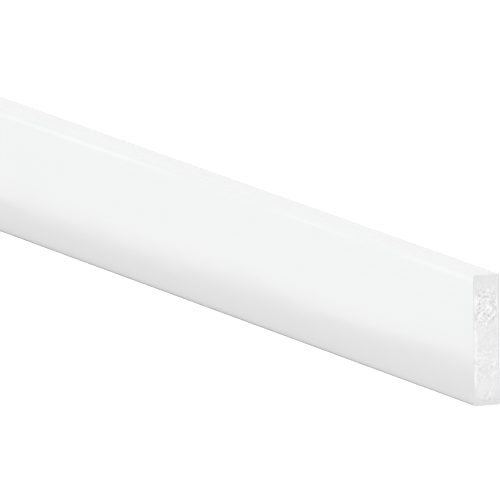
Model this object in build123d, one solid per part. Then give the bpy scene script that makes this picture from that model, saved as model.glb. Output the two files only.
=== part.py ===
from build123d import *
import os

# Flat baseboard: one straight length of extruded white trim with a plain rectangular section.
# It lies on its back with the show face up. X runs along the length. Y runs from the bottom
# edge to the top edge, as they sit on a wall. Z runs from the back to the show face.
# The origin is the middle of the back. All sizes are in millimetres.

LENGTH = 2438.4  # sawn end to sawn end, an 8 ft stock length
HEIGHT = 88.9  # bottom edge to top edge, 3-1/2 in
THICKNESS = 19.05  # back to show face, 3/4 in
SHOW_EASE = 1.6  # radius of the eased edges along the top and bottom of the show face
BACK_ARRIS = 0.5  # radius of the arris along the top and bottom of the back


def back_corners(profile):
    """Return the profile's points on the back's line."""
    return profile.vertices().group_by(Axis.Y)[0]


def show_corners(profile):
    """Return the profile's points on the show face's line."""
    return profile.vertices().group_by(Axis.Y)[-1]


def section():
    """Return the cross-section: a rectangle standing on the back's line, its four corners rounded."""
    with BuildSketch(Plane.YZ) as profile:
        Rectangle(HEIGHT, THICKNESS, align=(Align.CENTER, Align.MIN))
        # Rounding a corner renews the profile's points, so each pair is picked just before it is rounded
        fillet(back_corners(profile), BACK_ARRIS)
        fillet(show_corners(profile), SHOW_EASE)
    return profile.sketch


def baseboard():
    """Return the board: the section run half the length each way, both ends cut square."""
    board = extrude(section(), amount=LENGTH / 2, dir=(1, 0, 0), both=True)
    board.label = "baseboard"
    return board


os.makedirs("parts", exist_ok=True)
export_step(baseboard(), "parts/baseboard.step")
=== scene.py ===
"""Dress the flat baseboard: satin extruded skin, sawn foam ends, floor, studio light and camera."""

import logging
import math
from collections.abc import Callable
from dataclasses import dataclass, field
from enum import Enum
from statistics import fmean
from typing import Any

import bmesh
import bpy
from mathutils import Matrix, Vector, noise


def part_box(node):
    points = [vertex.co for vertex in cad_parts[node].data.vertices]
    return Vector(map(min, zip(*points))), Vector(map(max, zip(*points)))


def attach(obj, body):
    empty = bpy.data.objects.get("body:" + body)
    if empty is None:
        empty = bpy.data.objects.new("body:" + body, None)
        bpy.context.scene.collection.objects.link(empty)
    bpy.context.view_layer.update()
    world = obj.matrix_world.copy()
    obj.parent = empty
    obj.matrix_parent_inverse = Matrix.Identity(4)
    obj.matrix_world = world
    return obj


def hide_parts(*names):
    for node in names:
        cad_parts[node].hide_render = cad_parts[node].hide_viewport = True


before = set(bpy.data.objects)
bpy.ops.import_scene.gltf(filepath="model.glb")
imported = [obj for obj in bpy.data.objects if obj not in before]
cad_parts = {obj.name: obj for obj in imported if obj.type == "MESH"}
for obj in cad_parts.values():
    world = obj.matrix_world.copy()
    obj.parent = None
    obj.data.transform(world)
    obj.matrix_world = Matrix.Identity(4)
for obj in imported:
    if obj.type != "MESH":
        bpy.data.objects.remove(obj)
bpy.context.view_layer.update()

LOG = logging.getLogger("baseboard")
MM = 0.001
SAME_PLACE = 0.01 * MM  # points closer than this are one
ALONG_AXIS = 0.99  # a unit vector with more than this along an axis is parallel to it
NODE = "baseboard"
BODY = "root"
Colour = tuple[float, float, float]
PerAxis = tuple[float, float, float]
Levels = tuple[float, float]


class LongEdge(Enum):
    """The board's four long edges, by their sides of Y (1 top, -1 bottom) and Z (1 show, -1 back)."""

    TOP_SHOW = (1, 1)
    BOTTOM_SHOW = (-1, 1)
    TOP_BACK = (1, -1)
    BOTTOM_BACK = (-1, -1)


class Value:
    """A number socket that Python's operators work on, each adding the Math node that it needs."""

    def __init__(self, nodes: "Nodes", socket: bpy.types.NodeSocket) -> None:
        """Wrap one output socket of a node tree."""
        self.nodes = nodes
        self.socket = socket

    def _math(self, operation: str, first: Any, second: Any, clamp: bool = False) -> "Value":
        """Add one Math node.

        Args:
            operation: The Math node's operation.
            first: The first operand, a Value or a number.
            second: The second operand, a Value or a number.
            clamp: Whether the result is held between 0 and 1.

        Returns:
            The node's result.
        """
        settings = {"operation": operation, "use_clamp": clamp}
        return self.nodes.value("ShaderNodeMath", settings, {0: first, 1: second})

    def __add__(self, other: Any) -> "Value":
        """Return self + other."""
        return self._math("ADD", self, other)

    def __radd__(self, other: Any) -> "Value":
        """Return other + self."""
        return self._math("ADD", other, self)

    def __sub__(self, other: Any) -> "Value":
        """Return self - other."""
        return self._math("SUBTRACT", self, other)

    def __rsub__(self, other: Any) -> "Value":
        """Return other - self."""
        return self._math("SUBTRACT", other, self)

    def __mul__(self, other: Any) -> "Value":
        """Return self * other."""
        return self._math("MULTIPLY", self, other)

    def __rmul__(self, other: Any) -> "Value":
        """Return other * self."""
        return self._math("MULTIPLY", other, self)

    def __abs__(self) -> "Value":
        """Return self without its sign."""
        return self._math("ABSOLUTE", self, 0.0)

    def smaller(self, other: Any) -> "Value":
        """Return the smaller of self and other."""
        return self._math("MINIMUM", self, other)

    def clamped(self) -> "Value":
        """Return self held between 0 and 1."""
        return self._math("ADD", self, 0.0, clamp=True)

    def ramp(self, start: float, end: float) -> "Value":
        """Rise smoothly from 0 to 1 as self goes from start to end.

        Args:
            start: Where the rise begins.
            end: Where it is complete; it may be below start for a fall.

        Returns:
            The eased value.
        """
        settings = {"interpolation_type": "SMOOTHSTEP"}
        sockets = {"Value": self, "From Min": start, "From Max": end}
        return self.nodes.value("ShaderNodeMapRange", settings, sockets)


class Nodes:
    """A node tree being wired up, for a material or the world."""

    def __init__(self, tree: bpy.types.NodeTree) -> None:
        """Start from an empty tree."""
        self.tree = tree
        tree.nodes.clear()

    def node(
        self, kind: str, settings: dict[str, Any] | None = None, sockets: dict[Any, Any] | None = None
    ) -> bpy.types.Node:
        """Add any node.

        Args:
            kind: The node's type name.
            settings: The node's own properties, set first.
            sockets: Values or links for its inputs, by name or number.

        Returns:
            The new node.
        """
        made = self.tree.nodes.new(kind)
        for name, setting in (settings or {}).items():
            setattr(made, name, setting)
        for key, value in (sockets or {}).items():
            self._feed(self._input(made, key), value)
        return made

    def value(
        self, kind: str, settings: dict[str, Any] | None = None, sockets: dict[Any, Any] | None = None
    ) -> Value:
        """Add a node and return its first enabled output as a Value."""
        made = self.node(kind, settings, sockets)
        return Value(self, next(out for out in made.outputs if out.enabled))

    @staticmethod
    def _input(made: bpy.types.Node, key: Any) -> bpy.types.NodeSocket:
        """Find one of a node's inputs.

        Args:
            made: The node.
            key: The input's number, or its name among those in use.

        Returns:
            The input.
        """
        if isinstance(key, int):
            return made.inputs[key]
        return next(socket for socket in made.inputs if socket.name == key and socket.enabled)

    def _feed(self, target: bpy.types.NodeSocket, value: Any) -> None:
        """Fill one input.

        Args:
            target: The input.
            value: A Value or an output to link it to, or a plain value to set.
        """
        if isinstance(value, Value):
            self.tree.links.new(value.socket, target)
        elif isinstance(value, bpy.types.NodeSocket):
            self.tree.links.new(value, target)
        else:
            target.default_value = value

    def place(self, scale: PerAxis) -> bpy.types.NodeSocket:
        """Return the piece's own coordinates, stretched.

        Args:
            scale: Pattern units to the metre along X, Y and Z.

        Returns:
            The vector output.
        """
        where = self.node("ShaderNodeTexCoord").outputs["Object"]
        return self.node("ShaderNodeMapping", None, {"Vector": where, "Scale": scale}).outputs["Vector"]

    def axis(self, name: str, system: str = "Object") -> Value:
        """Return one coordinate.

        Args:
            name: X, Y or Z.
            system: Object for the piece's own metres, or Generated for the direction of a world's ray.

        Returns:
            The coordinate.
        """
        where = self.node("ShaderNodeTexCoord").outputs[system]
        split = self.node("ShaderNodeSeparateXYZ", None, {"Vector": where})
        return Value(self, split.outputs[name])

    def noise(self, scale: PerAxis, detail: float = 2.0, roughness: float = 0.5) -> Value:
        """Return soft noise about 0.5, by place on the piece.

        Args:
            scale: Blotches to the metre along X, Y and Z.
            detail: Octaves of finer noise.
            roughness: How strong the finer octaves are.

        Returns:
            The noise.
        """
        sockets = {"Vector": self.place(scale), "Scale": 1.0, "Detail": detail, "Roughness": roughness}
        return self.value("ShaderNodeTexNoise", None, sockets)

    def rings(self, centre: PerAxis, per_metre: float) -> Value:
        """Return uneven rings about an axis along X, about 0.5.

        Args:
            centre: A point on the axis.
            per_metre: Rings to the metre.

        Returns:
            The rings.
        """
        flat = self.place((0.0, 1.0, 1.0))
        reach = self.value("ShaderNodeVectorMath", {"operation": "DISTANCE"}, {0: flat, 1: centre})
        sockets = {"W": reach * per_metre, "Scale": 1.0, "Detail": 1.0}
        return self.value("ShaderNodeTexNoise", {"noise_dimensions": "1D"}, sockets)

    def mix(self, factor: Any, low: Any, high: Any) -> bpy.types.NodeSocket:
        """Blend two colours.

        Args:
            factor: 0 for low, 1 for high.
            low: A colour or a colour output.
            high: A colour or a colour output.

        Returns:
            The blended colour.
        """
        ends = {"Factor": factor, "A": self._rgba(low), "B": self._rgba(high)}
        mixed = self.node("ShaderNodeMix", {"data_type": "RGBA"}, ends)
        return next(out for out in mixed.outputs if out.enabled)

    @staticmethod
    def _rgba(colour: Any) -> Any:
        """Give a plain colour its alpha, and leave an output as it is."""
        return colour if isinstance(colour, bpy.types.NodeSocket) else (*colour, 1.0)

    def blend(self, factor: Value, low: bpy.types.Node, high: bpy.types.Node) -> bpy.types.Node:
        """Mix two shaders, 0 for low and 1 for high."""
        sockets = {"Fac": factor, 1: low.outputs[0], 2: high.outputs[0]}
        return self.node("ShaderNodeMixShader", None, sockets)

    def show(self, shader: bpy.types.Node) -> None:
        """Wire a shader to the material's output."""
        self.node("ShaderNodeOutputMaterial", None, {"Surface": shader.outputs[0]})

    def plastic(
        self, colour: bpy.types.NodeSocket, gloss: Value, ior: float, bump: dict[str, Any]
    ) -> None:
        """Wire a plain plastic to the material's output.

        Args:
            colour: The base colour.
            gloss: The roughness.
            ior: The index of refraction.
            bump: The fine relief, as a Bump node's Height, Strength and Distance.
        """
        normal = self.node("ShaderNodeBump", None, bump).outputs["Normal"]
        sockets = {"Base Color": colour, "Roughness": gloss, "IOR": ior, "Normal": normal}
        self.show(self.node("ShaderNodeBsdfPrincipled", None, sockets))


def new_material(name: str) -> tuple[bpy.types.Material, Nodes]:
    """Start a material.

    Args:
        name: The material's name.

    Returns:
        The material, and its emptied node tree to wire up.
    """
    made = bpy.data.materials.new(name)
    made.use_nodes = True
    return made, Nodes(made.node_tree)


class Workbench:
    """Edit-mode work on one mesh, with edges and faces picked by their place."""

    def __init__(self, piece: bpy.types.Object) -> None:
        """Take a mesh object to work on."""
        self.piece = piece

    def __enter__(self) -> "Workbench":
        """Select the piece alone and open it in edit mode.

        Returns:
            The bench.
        """
        bpy.ops.object.select_all(action="DESELECT")
        bpy.context.view_layer.objects.active = self.piece
        self.piece.select_set(True)
        bpy.ops.object.mode_set(mode="EDIT")
        return self

    def __exit__(self, *_error: Any) -> None:
        """Go back to object mode."""
        bpy.ops.object.mode_set(mode="OBJECT")

    def pick_edges(self, wanted: Callable[[Vector, Vector], bool]) -> None:
        """Select the edges that pass a test, and no others.

        Args:
            wanted: Takes an edge's middle and its unit direction.
        """
        bpy.ops.mesh.select_mode(type="EDGE")
        bpy.ops.mesh.select_all(action="DESELECT")
        mesh = bmesh.from_edit_mesh(self.piece.data)
        for edge in mesh.edges:
            start, end = (vert.co for vert in edge.verts)
            edge.select_set(wanted((start + end) / 2, (end - start).normalized()))
        bmesh.update_edit_mesh(self.piece.data)

    def pick_faces(self, wanted: Callable[[Vector, Vector], bool]) -> None:
        """Select the faces that pass a test, and no others.

        Args:
            wanted: Takes a face's middle and its normal.
        """
        bpy.ops.mesh.select_mode(type="FACE")
        bpy.ops.mesh.select_all(action="DESELECT")
        mesh = bmesh.from_edit_mesh(self.piece.data)
        for face in mesh.faces:
            face.select_set(wanted(face.calc_center_median(), face.normal))
        bmesh.update_edit_mesh(self.piece.data)

    def cut(self, point: Vector, normal: Vector) -> None:
        """Cut the whole mesh by a plane, keeping both sides.

        Args:
            point: A point on the plane.
            normal: The plane's normal.
        """
        bpy.ops.mesh.select_all(action="SELECT")
        bpy.ops.mesh.bisect(plane_co=point, plane_no=normal)


@dataclass(frozen=True)
class ExtrudedSkin:
    """The dense satin skin that the die leaves on the four long faces."""

    name: str = "extruded_skin"
    colour: Colour = (0.866, 0.871, 0.868)
    streak_colour: Colour = (0.853, 0.858, 0.855)
    roughness: float = 0.13
    roughness_spread: float = 0.05
    ior: float = 1.54
    streaks_per_m: PerAxis = (2.0, 700.0, 700.0)
    streak_levels: Levels = (0.42, 0.68)
    clouds_per_m: PerAxis = (7.0, 30.0, 30.0)
    cloud_levels: Levels = (0.35, 0.75)
    cloud_share: float = 0.4  # of the change in colour, the rest being the streaks'
    peel_per_m: PerAxis = (220.0, 420.0, 420.0)
    peel_share: float = 0.3  # of the fine relief, the rest being the streaks'
    waviness: float = 20.0  # the clouds' relief, against a fine relief of 1
    relief: float = 0.05 * MM
    relief_strength: float = 0.35

    def material(self) -> bpy.types.Material:
        """Make the skin: white, with faint die lines, soft gloss clouds and a slight waviness.

        Returns:
            The material.
        """
        made, nodes = new_material(self.name)
        streaks = nodes.noise(self.streaks_per_m, detail=3.0, roughness=0.6)
        clouds = nodes.noise(self.clouds_per_m, detail=2.0)
        peel = nodes.noise(self.peel_per_m, detail=1.0)
        lines = streaks.ramp(*self.streak_levels) * (1.0 - self.cloud_share)
        dulled = lines + clouds.ramp(*self.cloud_levels) * self.cloud_share
        colour = nodes.mix(dulled, self.colour, self.streak_colour)
        gloss = self.roughness + (streaks + clouds - 1.0) * self.roughness_spread
        height = streaks * (1.0 - self.peel_share) + peel * self.peel_share + clouds * self.waviness
        bump = {"Height": height, "Strength": self.relief_strength, "Distance": self.relief}
        nodes.plastic(colour, gloss, self.ior, bump)
        return made


@dataclass(frozen=True)
class SawnFoam:
    """The matte cellular core that the saw opens on each end, inside a rim of dense skin."""

    relief_name: str
    half_height: float
    thickness: float
    name: str = "sawn_foam"
    land_colour: Colour = (0.85, 0.85, 0.85)
    grain_colour: Colour = (0.81, 0.81, 0.81)
    # crests get a painted highlight and pits get painted shade, by their height in the relief
    crest_highlight_colour: Colour = (0.96, 0.96, 0.96)
    pit_shade_colour: Colour = (0.66, 0.66, 0.66)
    # darkens the end towards its top and bottom edges; the stronger darkening at the bottom is painted
    # shade
    edge_darkening_colour: Colour = (0.72, 0.72, 0.72)
    # painted shade: a thin darker line along the end's show and back edges
    edge_shade_colour: Colour = (0.77, 0.77, 0.77)
    skin_colour: Colour = (0.96, 0.96, 0.96)
    crest_height: float = 0.13 * MM
    pit_depth: float = 0.20 * MM
    relief_onset: float = 0.1  # share of a crest's height or a pit's depth at which its painted highlight or shade starts
    top_darkening_width: float = 18.0 * MM
    top_darkening_share: float = 0.36
    bottom_shade_width: float = 11.0 * MM
    bottom_shade_share: float = 0.8
    edge_shade_fade: Levels = (0.84 * MM, 0.36 * MM)  # in from each side, where the painted shade line along the edge ends and is full
    skin_fade: Levels = (3.2 * MM, 1.92 * MM)  # in from the show face, the same for the skin's line
    skin_reach: Levels = (0.78, 0.58)  # shares of the half height where that line ends and is full
    skin_patches_per_m: PerAxis = (60.0, 110.0, 250.0)
    skin_patch_levels: Levels = (0.37, 0.53)
    roughness: float = 0.72
    smear_gloss: float = 0.1
    ior: float = 1.52
    cells_per_m: PerAxis = (900.0, 900.0, 900.0)
    cell_share: float = 0.3
    smear_per_m: PerAxis = (250.0, 110.0, 300.0)
    smear_share: float = 0.55
    blade: PerAxis = (0.0, 0.07, -0.13)  # the middle of the saw blade whose marks the ends keep
    kerfs_per_m: float = 800.0
    kerf_share: float = 0.15
    grain_levels: Levels = (0.36, 0.64)
    grit: float = 0.10 * MM
    grit_strength: float = 0.4
    grit_kerf_share: float = 0.2  # of the grit's relief, the rest being the cells'

    def material(self) -> bpy.types.Material:
        """Make the sawn face: pale lands, a painted highlight on the crests, painted shade in the torn
        cells, and traces of skin.

        Returns:
            The material.
        """
        made, nodes = new_material(self.name)
        cells = nodes.noise(self.cells_per_m, detail=2.0)
        smear = nodes.noise(self.smear_per_m, detail=2.0)
        kerfs = nodes.rings(self.blade, self.kerfs_per_m)
        grain = cells * self.cell_share + smear * self.smear_share + kerfs * self.kerf_share
        colour = nodes.mix(grain.ramp(*self.grain_levels), self.land_colour, self.grain_colour)
        stored = nodes.node("ShaderNodeAttribute", {"attribute_name": self.relief_name})
        relief = Value(nodes, stored.outputs["Fac"])
        # painted highlight on the crests and painted shade in the pits, by how far each point stands above
        # or below the foam's usual level
        crests = relief.ramp(self.relief_onset * self.crest_height, self.crest_height)
        pits = relief.ramp(-self.relief_onset * self.pit_depth, -self.pit_depth)
        colour = nodes.mix(pits, nodes.mix(crests, colour, self.crest_highlight_colour), self.pit_shade_colour)
        colour = self._skin_line_and_edge_shade(nodes, colour)
        # darker towards the top and bottom edges, the bottom's darkening being painted shade
        colour = nodes.mix(self._edge_darkening_mask(nodes), colour, self.edge_darkening_colour)
        height = cells * (1.0 - self.grit_kerf_share) + kerfs * self.grit_kerf_share
        bump = {"Height": height, "Strength": self.grit_strength, "Distance": self.grit}
        nodes.plastic(colour, self.roughness - smear * self.smear_gloss, self.ior, bump)
        return made

    def _edge_darkening_mask(self, nodes: Nodes) -> Value:
        """Work out how much the end is darkened towards its top and bottom edges; the stronger darkening
        at the bottom is painted shade.

        Args:
            nodes: The foam's node tree.

        Returns:
            0 in the middle, rising to the top and bottom edges.
        """
        up = nodes.axis("Y")
        top = (self.half_height - up).ramp(self.top_darkening_width, 0.0)
        bottom = (self.half_height + up).ramp(self.bottom_shade_width, 0.0)
        return top * self.top_darkening_share + bottom * self.bottom_shade_share

    def _skin_line_and_edge_shade(self, nodes: Nodes, colour: bpy.types.NodeSocket) -> bpy.types.NodeSocket:
        """Draw a painted shade line along the show and back edges, and the cut skin's broken white line
        inside the show face.

        Args:
            nodes: The foam's node tree.
            colour: The colour of the core.

        Returns:
            The colour with the cut skin and the painted shade line on it.
        """
        depth = self.thickness - nodes.axis("Z")
        inside = depth.smaller(self.thickness - depth)
        far, near = (share * self.half_height for share in self.skin_reach)
        middle = abs(nodes.axis("Y")).ramp(far, near)
        patches = nodes.noise(self.skin_patches_per_m).ramp(*self.skin_patch_levels) * middle
        colour = nodes.mix(depth.ramp(*self.skin_fade) * patches, colour, self.skin_colour)
        # painted shade: a thin darker line along the show and back edges
        return nodes.mix(inside.ramp(*self.edge_shade_fade), colour, self.edge_shade_colour)


@dataclass(frozen=True)
class TornPatch:
    """A patch of a sawn end where the saw tore the foam open, placed from the back's middle."""

    up: float
    out: float
    reach_up: float
    reach_out: float
    strength: float
    ragged: float = 0.35
    fingers_per_m: float = 150.0
    edge_rise: float = 3.0  # how steeply the strength rises inside the ragged edge

    def share(self, at: Vector) -> float:
        """Say how torn the foam is at a point of an end.

        Args:
            at: The point.

        Returns:
            The patch's strength well inside it, falling to 0 at its ragged edge.
        """
        off = math.hypot((at.y - self.up) / self.reach_up, (at.z - self.out) / self.reach_out)
        edge = off + self.ragged * noise.noise(at * self.fingers_per_m)
        return self.strength * min(1.0, max(0.0, self.edge_rise * (1.0 - edge)))


@dataclass
class Baseboard:
    """The one length of stock: a rectangular extrusion with eased edges and sawn ends."""

    low: Vector
    high: Vector
    rounds: dict[LongEdge, float] = field(
        default_factory=lambda: {
            LongEdge.TOP_SHOW: 1.6 * MM,
            LongEdge.BOTTOM_SHOW: 1.6 * MM,
            LongEdge.TOP_BACK: 0.5 * MM,
            LongEdge.BOTTOM_BACK: 0.5 * MM,
        }
    )
    facet: float = 0.25 * MM  # arc length of one facet of a rounded edge
    least_facets: int = 4
    smooth_angle: float = math.radians(35)
    end_depth: float = 1.0 * MM  # what lies nearer to an end than this belongs to it
    rim: float = 1.4 * MM  # smooth border around each sawn core
    fade: float = 0.8 * MM  # in from the rim, where the relief reaches its depth
    core_squares: int = 6  # rows that a core is cut into before it is divided finely
    cell_cuts: int = 54
    patches: tuple[TornPatch, ...] = (
        TornPatch(up=23.0 * MM, out=9.5 * MM, reach_up=17.0 * MM, reach_out=15.0 * MM, strength=0.72),
        TornPatch(up=-15.0 * MM, out=9.5 * MM, reach_up=15.0 * MM, reach_out=13.0 * MM, strength=0.42),
        TornPatch(up=-38.0 * MM, out=9.5 * MM, reach_up=6.5 * MM, reach_out=6.5 * MM, strength=0.65),
    )
    quiet_share: float = 0.25  # of the relief, outside the torn patches
    crest_depth: float = 0.32 * MM
    crest_spacing: float = 2.5 * MM
    crest_stops: tuple[Levels, Levels] = ((0.08, 1.0), (0.34, 0.0))
    bubble_depth: float = 0.30 * MM
    bubble_spacing: float = 3.0 * MM
    bubble_stops: tuple[Levels, Levels] = ((0.10, 0.0), (0.28, 1.0))
    lump_depth: float = 0.24 * MM
    lump_spacing: float = 1.6 * MM
    relief_name: str = "sawn_relief"
    core_group: str = "sawn_core"
    piece: bpy.types.Object | None = field(default=None, init=False)
    shares: dict[int, float] = field(default_factory=dict, init=False)

    @property
    def length(self) -> float:
        """Sawn end to sawn end."""
        return self.high.x - self.low.x

    @property
    def thickness(self) -> float:
        """Back to show face."""
        return self.high.z - self.low.z

    @property
    def half_height(self) -> float:
        """Middle to top edge."""
        return (self.high.y - self.low.y) / 2

    def build(self) -> bpy.types.Object:
        """Model the board and dress it.

        Returns:
            The finished piece, at the origin with its place in its mesh.
        """
        self._stock()
        self._ease_edges()
        self._divide_ends()
        self._weigh_cores()
        self._open_cells()
        self._note_relief()
        self._dress()
        return self.piece

    def _stock(self) -> None:
        """Add the squared stock at the board's size and place."""
        bpy.ops.object.select_all(action="DESELECT")
        size = self.high - self.low
        bpy.ops.mesh.primitive_cube_add(size=1.0, location=(self.low + self.high) / 2, scale=size)
        bpy.ops.object.transform_apply(location=True, rotation=True, scale=True)
        self.piece = bpy.context.object
        self.piece.name = "baseboard_stock"
        self.piece.data.name = "baseboard_stock"

    def _ease_edges(self) -> None:
        """Round the four long edges, each by its own radius."""
        with Workbench(self.piece) as bench:
            for edge, radius in self.rounds.items():
                top, show = (side > 0 for side in edge.value)
                corner = Vector((self.high.y if top else self.low.y, self.high.z if show else self.low.z))
                bench.pick_edges(
                    lambda at, way: abs(way.x) > ALONG_AXIS and (at.yz - corner).length < SAME_PLACE
                )
                steps = max(self.least_facets, math.ceil(radius * math.pi / 2 / self.facet))
                bpy.ops.mesh.bevel(offset=radius, segments=steps, affect="EDGES")

    def _inside(self, at: Vector) -> float:
        """Return how far a point of an end lies in from the nearest side."""
        return min(at.z - self.low.z, self.high.z - at.z, self.half_height - abs(at.y))

    def _at_end(self, at: Vector) -> bool:
        """Say whether a point belongs to one of the sawn ends."""
        return abs(at.x) > self.high.x - self.end_depth

    def _divide_ends(self) -> None:
        """Cut the rim off from the core on both ends, then divide the core finely."""
        core_half = self.half_height - self.rim
        rows = [core_half * (2 * step / self.core_squares - 1) for step in range(self.core_squares + 1)]
        with Workbench(self.piece) as bench:
            for row in rows:
                bench.cut(Vector((0, row, 0)), Vector((0, 1, 0)))
            for level in (self.low.z + self.rim, self.high.z - self.rim):
                bench.cut(Vector((0, 0, level)), Vector((0, 0, 1)))
            bench.pick_faces(lambda at, normal: abs(normal.x) > ALONG_AXIS and self._inside(at) > self.rim)
            bpy.ops.mesh.subdivide(number_cuts=self.cell_cuts)

    def _weigh_cores(self) -> None:
        """Give the core's points their share of the relief: most in the torn patches, none at the rim."""
        group = self.piece.vertex_groups.new(name=self.core_group)
        for vert in self.piece.data.vertices:
            margin = min(1.0, (self._inside(vert.co) - self.rim) / self.fade)
            if self._at_end(vert.co) and margin > 0.0:
                torn = max(patch.share(vert.co) for patch in self.patches)
                self.shares[vert.index] = margin * max(self.quiet_share, torn)
                group.add([vert.index], self.shares[vert.index], "REPLACE")

    def _displace(self, texture: bpy.types.Texture, depth: float) -> None:
        """Sink the sawn cores by a texture and apply it.

        Args:
            texture: The pattern, 1 where the surface stays and 0 where it sinks most.
            depth: The most that it sinks.
        """
        sink = self.piece.modifiers.new(texture.name, "DISPLACE")
        sink.texture = texture
        sink.texture_coords = "LOCAL"
        sink.direction = "NORMAL"
        sink.mid_level = 1.0
        sink.strength = depth
        sink.vertex_group = self.core_group
        bpy.context.view_layer.objects.active = self.piece
        bpy.ops.object.modifier_apply(modifier=sink.name)

    @staticmethod
    def _sharpen(texture: bpy.types.Texture, stops: tuple[Levels, Levels]) -> None:
        """Sharpen a texture between two levels.

        Args:
            texture: The pattern to sharpen.
            stops: A low and a high level of the pattern, each with the height that it becomes.
        """
        texture.use_color_ramp = True
        for stop, (level, height) in zip(texture.color_ramp.elements, stops):
            stop.position = level
            stop.color = (height, height, height, 1.0)

    def _open_cells(self) -> None:
        """Sink the sawn cores, leaving winding crests between soft lumps and opened bubbles."""
        crests = bpy.data.textures.new("winding_crests", "CLOUDS")
        crests.noise_type = "HARD_NOISE"
        crests.noise_scale = self.crest_spacing
        crests.noise_depth = 0
        self._sharpen(crests, self.crest_stops)
        self._displace(crests, self.crest_depth)
        bubbles = bpy.data.textures.new("opened_bubbles", "VORONOI")
        bubbles.noise_scale = self.bubble_spacing
        bubbles.noise_intensity = 1.0
        self._sharpen(bubbles, self.bubble_stops)
        self._displace(bubbles, self.bubble_depth)
        lumps = bpy.data.textures.new("soft_lumps", "CLOUDS")
        lumps.noise_scale = self.lump_spacing
        lumps.noise_depth = 1
        self._displace(lumps, self.lump_depth)

    def _note_relief(self) -> None:
        """Store how far each point stands above the foam's usual level, for the finish to paint highlight
        on the crests and shade in the pits.
        """
        mesh = self.piece.data
        sinks = {index: self.high.x - abs(mesh.vertices[index].co.x) for index in self.shares}
        torn = [index for index, share in self.shares.items() if share > self.quiet_share]
        usual = fmean(sinks[index] / self.shares[index] for index in torn)
        heights = [0.0] * len(mesh.vertices)
        for index, share in self.shares.items():
            heights[index] = share * usual - sinks[index]
        relief = mesh.attributes.new(self.relief_name, "FLOAT", "POINT")
        relief.data.foreach_set("value", heights)

    def _dress(self) -> None:
        """Give the long faces the skin and the ends the foam, and smooth the eased edges."""
        skin = ExtrudedSkin()
        foam = SawnFoam(self.relief_name, self.half_height, self.thickness)
        self.piece.data.materials.append(skin.material())
        self.piece.data.materials.append(foam.material())
        with Workbench(self.piece) as bench:
            bench.pick_faces(lambda at, normal: self._at_end(at))
            self.piece.active_material_index = 1
            bpy.ops.object.material_slot_assign()
        bpy.ops.object.shade_smooth_by_angle(angle=self.smooth_angle)
        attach(self.piece, BODY)
        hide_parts(NODE)


@dataclass(frozen=True)
class Flag:
    """A black card along the bottom edge, out of the camera's sight, that the skin mirrors."""

    name: str
    gap: float  # out from the bottom edge
    foot: float
    top: float  # the middle of its soft change to white, at the near end
    lean: float  # how far that change comes down to the metre, away from the near end
    blur: float  # half the width of that change
    shades: bool = False  # whether it keeps plain light off the board too


@dataclass(frozen=True)
class Gleam:
    """A bright strip over the show face, out of the camera's sight, mirrored near the top edge."""

    name: str = "gleam"
    height: float = 15.0 * MM  # over the show face
    inset: float = 8.2 * MM  # from the top edge to its middle, at the near end
    width: float = 4.5 * MM
    lean: float = 0.0023  # how far it moves in to the metre, away from the near end
    strength: float = 1.45
    breaks_per_m: PerAxis = (3.1, 0.0, 0.0)
    break_levels: Levels = (0.35, 0.60)


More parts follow.
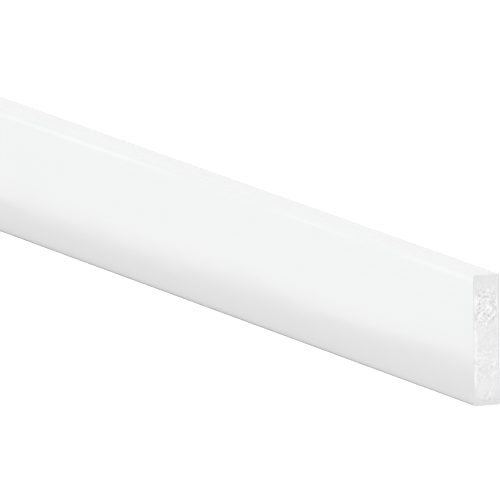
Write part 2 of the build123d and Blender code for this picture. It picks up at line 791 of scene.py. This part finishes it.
@dataclass
class Studio:
    """White floor and world, a broad soft key, flags that darken the show face's foot, and a gleam."""

    board: Baseboard
    floor_size: float = 120.0
    floor_drop: float = 0.05 * MM
    floor_colour: Colour = (0.86, 0.86, 0.86)
    floor_lift: float = 0.36  # glow that only the camera sees
    floor_mirrored: float = 1.0  # brightness in mirrored rays
    white: Colour = (1.0, 1.0, 1.0)
    black: Colour = (0.0, 0.0, 0.0)
    ambient: float = 0.885
    mirrored_tint: Colour = (0.94, 1.0, 0.97)
    horizon_dim: float = 0.16  # how much darker the world is mirrored at its horizon
    horizon_fade: Levels = (0.16, 0.05)  # sines of the heights where that starts and is full
    key_strength: float = 0.65
    key_angle: float = math.radians(38)
    key_from: Vector = field(default_factory=lambda: Vector((0.55, 0.48, 0.68)))
    high_flag: Flag = Flag("high_flag", gap=20 * MM, foot=58 * MM, top=143 * MM, lean=0.020, blur=24 * MM)
    low_flag: Flag = Flag(
        "low_flag", gap=0.25 * MM, foot=18.5 * MM, top=21 * MM, lean=-0.0018, blur=0.5 * MM, shades=True
    )
    gleam: Gleam = Gleam()

    def build(self) -> None:
        """Set up the floor, the world, the key, the flags and the gleam."""
        self._floor()
        self._world()
        self._key()
        for flag in (self.high_flag, self.low_flag):
            self._flag(flag)
        self._gleam()

    @staticmethod
    def _rays(nodes: Nodes) -> tuple[Value, Value]:
        """Tell the camera's rays from the light's.

        Args:
            nodes: The node tree that asks.

        Returns:
            1 for the camera's own rays, and 1 for those that it sees mirrored or through glass.
        """
        path = nodes.node("ShaderNodeLightPath")
        rays = ("Is Camera Ray", "Is Glossy Ray", "Is Transmission Ray")
        camera, glossy, clear = (Value(nodes, path.outputs[name]) for name in rays)
        return camera, (glossy + clear).clamped()

    def _floor(self) -> None:
        """Lay a pale floor that looks white, keeps the board's shadow and is mirrored plain."""
        bpy.ops.object.select_all(action="DESELECT")
        bpy.ops.mesh.primitive_plane_add(size=self.floor_size, location=(0, 0, -self.floor_drop))
        floor = bpy.context.object
        floor.name = "floor"
        made, nodes = new_material("white_floor")
        camera, mirrored = self._rays(nodes)
        matte = nodes.node("ShaderNodeBsdfDiffuse", None, {"Color": (*self.floor_colour, 1.0)})
        glow = nodes.node("ShaderNodeEmission", None, {"Strength": camera * self.floor_lift})
        lifted = nodes.node("ShaderNodeAddShader", None, {0: matte.outputs[0], 1: glow.outputs[0]})
        plain = nodes.node("ShaderNodeEmission", None, {"Strength": self.floor_mirrored})
        nodes.show(nodes.blend(mirrored, lifted, plain))
        floor.data.materials.append(made)

    def _world(self) -> None:
        """Fill the scene with soft white light, mirrored a little darker at the horizon."""
        world = bpy.data.worlds.new("soft_white")
        world.use_nodes = True
        nodes = Nodes(world.node_tree)
        fill = {"Color": (*self.white, 1.0), "Strength": self.ambient}
        light = nodes.node("ShaderNodeBackground", None, fill)
        camera, mirrored = self._rays(nodes)
        rise = nodes.axis("Z", "Generated")
        level = 1.0 - mirrored * rise.ramp(*self.horizon_fade) * self.horizon_dim
        shown = nodes.mix(mirrored, self.white, self.mirrored_tint)
        seen = nodes.node("ShaderNodeBackground", None, {"Color": shown, "Strength": level})
        mixed = nodes.blend(camera + mirrored, light, seen)
        nodes.node("ShaderNodeOutputWorld", None, {"Surface": mixed.outputs[0]})
        bpy.context.scene.world = world

    def _key(self) -> None:
        """Light the board evenly along its length from one broad soft source beyond its near end."""
        data = bpy.data.lights.new("key", "SUN")
        data.energy = self.key_strength
        data.angle = self.key_angle
        key = bpy.data.objects.new("key", data)
        key.rotation_mode = "QUATERNION"
        key.rotation_quaternion = (-self.key_from).to_track_quat("-Z", "Y")
        bpy.context.scene.collection.objects.link(key)

    def _card(
        self, name: str, width: float, spot: Vector, turn: PerAxis
    ) -> tuple[bpy.types.Object, Nodes]:
        """Hang a card as long as the board that only mirrored light meets.

        Args:
            name: The card's name, and its material's.
            width: Its short side.
            spot: Its middle.
            turn: Its rotation from lying flat along X, about X, Y and Z.

        Returns:
            The card, still selected, and its material's node tree to wire up.
        """
        bpy.ops.object.select_all(action="DESELECT")
        bpy.ops.mesh.primitive_plane_add(size=1.0, location=spot, rotation=turn)
        card = bpy.context.object
        card.name = name
        card.scale = (self.board.length, width, 1.0)
        bpy.ops.object.transform_apply(location=False, rotation=False, scale=True)
        made, nodes = new_material(name)
        card.data.materials.append(made)
        card.visible_camera = card.visible_shadow = card.visible_diffuse = False
        return card, nodes

    def _flag(self, flag: Flag) -> None:
        """Hang a flag off the bottom edge, black up to its leaning top and white above it.

        Args:
            flag: The flag's size and place.
        """
        board = self.board
        tall = flag.top + flag.blur - flag.foot
        spot = Vector((0, board.low.y - flag.gap, flag.foot + tall / 2))
        card, nodes = self._card(flag.name, tall, spot, (-math.pi / 2, 0, 0))
        bpy.ops.object.transform_apply(location=True, rotation=True, scale=True)
        card.visible_diffuse = flag.shades
        level = nodes.axis("Z") + (board.high.x - nodes.axis("X")) * flag.lean
        upper = level.ramp(flag.top - flag.blur, flag.top + flag.blur)
        shade = nodes.mix(upper, self.black, self.white)
        nodes.show(nodes.node("ShaderNodeEmission", None, {"Color": shade}))

    def _gleam(self) -> None:
        """Hang the gleam along the top edge, brightest down its middle and broken along its length."""
        board, gleam = self.board, self.gleam
        across = board.high.y - gleam.inset - gleam.lean * board.high.x
        spot = Vector((0, across, board.high.z + gleam.height))
        _, nodes = self._card(gleam.name, gleam.width, spot, (0, 0, gleam.lean))
        broken = nodes.noise(gleam.breaks_per_m).ramp(*gleam.break_levels)
        share = abs(nodes.axis("Y")).ramp(gleam.width / 2, 0.0) * broken
        bright = {"Color": (*self.mirrored_tint, 1.0), "Strength": gleam.strength}
        glow = nodes.node("ShaderNodeEmission", None, bright)
        clear = nodes.node("ShaderNodeBsdfTransparent")
        nodes.show(nodes.blend(share, clear, glow))


@dataclass
class PhotoCamera:
    """A long lens that looks down along the board from its near end, the top edge up in the picture."""

    board: Baseboard
    lens_mm: float = 1700.0
    sensor_mm: float = 36.0
    frame_px: float = 500.0
    azimuth_deg: float = 100.26
    elevation_deg: float = 23.45
    roll_deg: float = -0.47
    distance: float = 15.803
    end_px: tuple[float, float] = (486.5, 340.0)  # across and down, where the near end's middle falls
    nearest: float = 0.1
    farthest: float = 1000.0

    def build(self) -> None:
        """Place the camera so that the middle of the near end falls on its pixel."""
        angles = (self.azimuth_deg, self.elevation_deg, self.roll_deg)
        turn, rise, roll = (math.radians(angle) for angle in angles)
        back = Vector((math.sin(turn) * math.cos(rise), -math.cos(turn) * math.cos(rise), math.sin(rise)))
        level = Vector((0, 1, 0)).cross(back).normalized()
        upright = back.cross(level)
        right = level * math.cos(roll) + upright * math.sin(roll)
        up = upright * math.cos(roll) - level * math.sin(roll)
        axes = Matrix((right, up, back)).transposed()
        focal_px = self.lens_mm / self.sensor_mm * self.frame_px
        across, down = ((pixel - self.frame_px / 2) / focal_px for pixel in self.end_px)
        end = Vector((self.board.high.x, 0, self.board.thickness / 2))
        data = bpy.data.cameras.new("photo_camera")
        data.lens = self.lens_mm
        data.sensor_width = self.sensor_mm
        data.clip_start = self.nearest
        data.clip_end = self.farthest
        camera = bpy.data.objects.new("photo_camera", data)
        camera.rotation_mode = "QUATERNION"
        camera.rotation_quaternion = axes.to_quaternion()
        camera.location = end - axes @ (Vector((across, -down, -1.0)) * self.distance)
        bpy.context.scene.collection.objects.link(camera)
        bpy.context.scene.camera = camera


def main() -> None:
    """Build the board, the studio and the camera."""
    logging.basicConfig(level=logging.INFO, format="%(message)s")
    bpy.context.scene.view_settings.view_transform = "Standard"
    low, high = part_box(NODE)
    board = Baseboard(low, high)
    piece = board.build()
    LOG.info("%s: %d faces", piece.name, len(piece.data.polygons))
    Studio(board).build()
    LOG.info("studio: floor, world, key, two flags and a gleam")
    PhotoCamera(board).build()
    LOG.info("camera: set on the near end")


if __name__ == "__main__":
    main()
